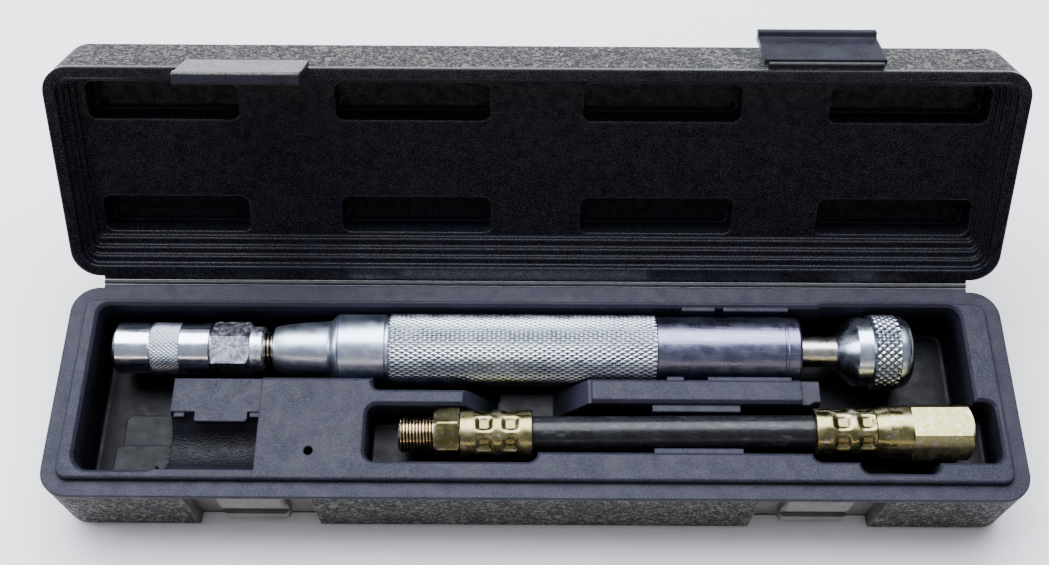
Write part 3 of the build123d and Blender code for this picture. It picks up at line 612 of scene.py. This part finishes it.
# the nose with its threaded stub
nose_line = (
    [(-88.0, 1.6), (-88.0, 4.65), (-87.4, 5.15)]
    + steps(-86.9, 5.15, -77.7, 5.15, 0.14)
    + [(-77.7, 5.15), (-77.7, 6.3), (-77.5, 6.6), (-77.2, 6.75), (-73.5, 7.45), (-69.2, 7.95), (-65.0, 8.25)]
    + [(-62.4, 8.4), (-61.6, 8.45), (-60.9, 8.65), (-60.4, 9.0), (-59.9, 9.5), (-59.2, 10.1), (-58.6, 10.4)]
    + [(-58.2, 10.5), (-58.2, 6.95), (-49.0, 6.95), (-49.0, 3.2), (-61.0, 3.2), (-61.0, 1.6)]
)
nose = turned_piece(
    "nose_threaded", "pump", nose_line, PUMP, 128, turned_steel,
    threaded(-87.0, -77.6, 1.1, 0.45, 4.9), 35, "nose",
)
paint(nose, thread_steel, lambda x, y, z: -87.2 < x < -77.8)

# the hose's male fitting: thread, hexagon, stem
male_line = (
    [(-39.1, 1.0), (-39.1, 4.5), (-38.6, 5.05)]
    + steps(-38.4, 5.15, -29.0, 5.15, 0.1165)
    + [(-29.0, 5.15), (-29.0, 6.8), (-27.8, 7.9), (-22.1, 7.9), (-21.7, 7.4), (-21.7, 3.4)]
    + [(-18.0, 3.4), (-18.0, 1.65), (-5.0, 1.65), (-5.0, 1.0)]
)
male = turned_piece(
    "male_fitting_threaded", "hose", male_line, HOSE, 192, zinc,
    both(threaded(-38.7, -29.0, 0.932, 0.42, 4.9), hexagon(-29.0, -21.7, 13.6, 25)), 35, "male_fitting",
)
paint(male, thread_zinc, lambda x, y, z: x < -29.05)

# the crimped ferrules: node, ends, dimple rows and the bore's outline
ferrules = (
    ("male_ferrule", -21.7, -0.7, (-14.6, -7.1), [(-0.7, 5.15), (-18.1, 5.15), (-18.1, 3.45), (-21.7, 3.45)]),
    ("female_ferrule", 80.0, 97.4, (87.4, 94.4), [(97.4, 3.45), (93.8, 3.45), (93.8, 5.15), (80.0, 5.15)]),
)
for node, x0, x1, rows, bore in ferrules:
    outline = [(x0, 6.6), (x0 + 0.15, 6.85), (x0 + 0.4, 7.0)] + steps(x0 + 0.6, 7.0, x1 - 0.6, 7.0, 0.35)
    outline += [(x1 - 0.4, 7.0), (x1 - 0.15, 6.85), (x1, 6.6)] + bore
    turned_piece(
        node + "_crimped", "hose", outline, HOSE, 196, zinc,
        crimped(rows, 84, 0.85, 2.1, 0.29, 6.5), 40, node, 0.9,
    )

# the two springs inside the pump
coil_spring("coupler_spring", -107.95, -99.85, 3.7, 0.45, 4)
coil_spring("check_spring", -60.6, -53.1, 2.2, 0.3, 5)

# ---------------------------------------------------------------- materials of the CAD's own pieces


def dress(material, *names):
    """Gives whole CAD nodes a material."""
    for name in names:
        piece = nodes[name]
        if not piece.material_slots:
            piece.data.materials.append(material)
        for place in piece.material_slots:
            place.material = material


dress(case, "base_shell", "lid_shell")
dress(tray, "base_tray")
dress(film, "hinge_film", "latch_film_left", "latch_film_right")
dress(lining, "lid_liner")
dress(latch_plastic("left"), "latch_left")
dress(latch_plastic("right"), "latch_right")
dress(hard_steel, "valve_seat", "check_ball", "coupler_jaws", "jaw_ring", "coupler_piston")
dress(turned_steel, "end_gland")
dress(seal_black, "rod_seal", "piston_seals", "coupler_seal", "hose_liner")
dress(hex_steel, "coupler_body")
dress(rod_steel, "plunger_rod", "piston")
dress(hose_black, "hose_cover")
dress(braid, "hose_braid")
dress(zinc, "female_fitting")
